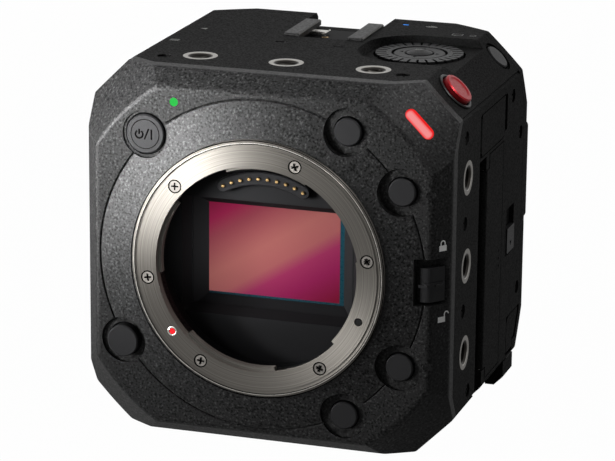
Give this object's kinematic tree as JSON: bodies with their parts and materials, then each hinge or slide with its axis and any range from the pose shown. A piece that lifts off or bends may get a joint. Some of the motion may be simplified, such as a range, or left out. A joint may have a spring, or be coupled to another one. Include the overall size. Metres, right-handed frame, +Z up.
{
  "type": "box cinema camera",
  "caption": "Box-shaped full-frame cinema camera body with an open bayonet lens mount, a control dial on top, side doors and a battery bay.",
  "frame": {"origin": "mouth of the middle tripod thread in the base, under the lens axis", "axes": "+X to the right as seen from the front, -Y out of the lens mount, +Z up"},
  "size_m": [0.0933, 0.0827, 0.0936],
  "materials": {
    "cover_black": "fine textured matte black",
    "inner_metal": "plain milled",
    "mount_steel": "turned, satin",
    "dot_red": "glossy red",
    "box_black": "matte black",
    "contact_gold": "gold plated",
    "sensor_glass": "coated, iridescent",
    "board_green": "solder mask",
    "button_grey": "smooth dark grey",
    "lamp_clear": "tinted lens",
    "screw_black": "blackened steel",
    "socket_nickel": "nickel plated"
  },
  "bodies": {
    "body": {"front_frame": "cover_black", "top_cover": "cover_black", "right_cover": "cover_black", "left_cover": "cover_black", "base_cover": "cover_black", "rear_cover": "cover_black", "chassis": "inner_metal", "heat_sink": "inner_metal", "mount_ring": "mount_steel", "mount_screws": "mount_steel", "hot_shoe": "mount_steel", "record_collar": "mount_steel", "thread_inserts": "mount_steel", "hinge_pins": "mount_steel", "index_dot": "dot_red", "tally_lamp": "dot_red", "light_box": "box_black", "contact_block": "box_black", "sensor_frame": "box_black", "shoe_base": "box_black", "battery_plate": "box_black", "card_slots": "box_black", "fan_housing": "box_black", "signal_jacks": "box_black", "dc_jack": "box_black", "battery_contacts": "contact_gold", "shoe_contacts": "contact_gold", "sensor_glass": "sensor_glass", "image_sensor": "sensor_glass", "sensor_board": "board_green", "main_board": "board_green", "power_lamp": "lamp_clear", "network_lamp": "lamp_clear", "shell_screws": "screw_black", "bnc_connectors": "socket_nickel", "terminal_ports": "socket_nickel"},
    "lens_lock": {"lens_lock_pin": "mount_steel"},
    "lens_contacts": {"contact_pins": "contact_gold"},
    "power": {"power_button": "button_grey"},
    "function_1": {"function_button_1": "button_grey"},
    "function_2": {"function_button_2": "button_grey"},
    "function_3": {"function_button_3": "button_grey"},
    "function_4": {"function_button_4": "button_grey"},
    "release": {"lens_release": "button_grey"},
    "lock": {"lock_switch": "button_grey"},
    "record": {"record_button": "dot_red"},
    "side": {"side_button": "button_grey"},
    "left_1": {"left_button_1": "button_grey"},
    "left_2": {"left_button_2": "button_grey"},
    "dial": {"control_dial": "button_grey"},
    "rocker": {"cursor_rocker": "box_black"},
    "pad": {"cursor_pad": "button_grey"},
    "menu": {"menu_button": "button_grey"},
    "remote_cover": {"remote_door": "cover_black"},
    "card_cover": {"card_door": "cover_black"},
    "card_slide": {"card_lock": "button_grey"},
    "jack_cover": {"jack_door": "cover_black"},
    "battery_release": {"battery_lever": "button_grey"},
    "terminal_cover": {"terminal_door": "cover_black"},
    "fan": {"fan_rotor": "box_black"}
  },
  "joints": [
    {"name": "power_press", "type": "slide", "parent": "body", "child": "power", "axis": [0, 1, 0], "range_m": [0, 0.0005], "stiffness_N_per_m": 250},
    {"name": "function_1_press", "type": "slide", "parent": "body", "child": "function_1", "axis": [0, 1, 0], "range_m": [0, 0.0005], "stiffness_N_per_m": 250},
    {"name": "function_2_press", "type": "slide", "parent": "body", "child": "function_2", "axis": [0, 1, 0], "range_m": [0, 0.0005], "stiffness_N_per_m": 250},
    {"name": "function_3_press", "type": "slide", "parent": "body", "child": "function_3", "axis": [0, 1, 0], "range_m": [0, 0.0005], "stiffness_N_per_m": 250},
    {"name": "function_4_press", "type": "slide", "parent": "body", "child": "function_4", "axis": [0, 1, 0], "range_m": [0, 0.0005], "stiffness_N_per_m": 250},
    {"name": "release_press", "type": "slide", "parent": "body", "child": "release", "axis": [0, 1, 0], "range_m": [0, 0.0015], "stiffness_N_per_m": 250},
    {"name": "lens_lock_travel", "type": "slide", "parent": "body", "child": "lens_lock", "axis": [0, 1, 0], "range_m": [0, 0.0012], "stiffness_N_per_m": 250},
    {"name": "contacts_travel", "type": "slide", "parent": "body", "child": "lens_contacts", "axis": [0, 1, 0], "range_m": [0, 0.00045], "stiffness_N_per_m": 150},
    {"name": "record_press", "type": "slide", "parent": "body", "child": "record", "axis": [-0.7071, 0, -0.7071], "range_m": [0, 0.0006], "stiffness_N_per_m": 250},
    {"name": "side_press", "type": "slide", "parent": "body", "child": "side", "axis": [-0.7071, 0, -0.7071], "range_m": [0, 0.0004], "stiffness_N_per_m": 250},
    {"name": "left_1_press", "type": "slide", "parent": "body", "child": "left_1", "axis": [0.7071, 0, -0.7071], "range_m": [0, 0.0004], "stiffness_N_per_m": 250},
    {"name": "left_2_press", "type": "slide", "parent": "body", "child": "left_2", "axis": [0.7071, 0, -0.7071], "range_m": [0, 0.0004], "stiffness_N_per_m": 250},
    {"name": "lock_slide", "type": "slide", "parent": "body", "child": "lock", "axis": [0, 0, 1], "range_m": [0, 0.0019]},
    {"name": "dial_turn", "type": "hinge", "parent": "body", "child": "dial", "pos_m": [0.0257, 0.0284, 0.0897], "axis": [0, 0, 1], "continuous": true},
    {"name": "rocker_tilt", "type": "hinge", "parent": "body", "child": "rocker", "pos_m": [0.0257, 0.0284, 0.08895], "axis": [1, 0, 0], "range_deg": [-2, 2], "stiffness_Nm_per_rad": 0.05},
    {"name": "pad_tilt", "type": "hinge", "parent": "rocker", "child": "pad", "pos_m": [0.0257, 0.0284, 0.08895], "axis": [0, 1, 0], "range_deg": [-2, 2], "stiffness_Nm_per_rad": 0.05},
    {"name": "menu_press", "type": "slide", "parent": "body", "child": "menu", "axis": [0, 0, -1], "range_m": [0, 0.0005], "stiffness_N_per_m": 250},
    {"name": "remote_hinge", "type": "hinge", "parent": "body", "child": "remote_cover", "pos_m": [0.0453, 0.0127, 0.07545], "axis": [0, 0, -1], "range_deg": [0, 95]},
    {"name": "card_hinge", "type": "hinge", "parent": "body", "child": "card_cover", "pos_m": [0.0453, 0.0188, 0.0394], "axis": [0, 0, -1], "range_deg": [0, 95]},
    {"name": "card_lock_slide", "type": "slide", "parent": "body", "child": "card_slide", "axis": [0, 0, 1], "range_m": [0, 0.0042]},
    {"name": "jack_hinge", "type": "hinge", "parent": "body", "child": "jack_cover", "pos_m": [0.0453, 0.0453, 0.011], "axis": [0, 1, 0], "range_deg": [0, 95]},
    {"name": "terminal_hinge", "type": "hinge", "parent": "body", "child": "terminal_cover", "pos_m": [0.0285, 0.0593, 0.0553], "axis": [0, 0, 1], "range_deg": [0, 100]},
    {"name": "battery_release_slide", "type": "slide", "parent": "body", "child": "battery_release", "axis": [1, 0, 0], "range_m": [0, 0.004]},
    {"name": "fan_turn", "type": "hinge", "parent": "body", "child": "fan", "pos_m": [-0.04, 0.0258, 0.046], "axis": [-1, 0, 0], "continuous": true}
  ],
  "couplings": [
    {"joint": "lens_lock_travel", "follows": "release_press", "ratio": 0.8}
  ]
}
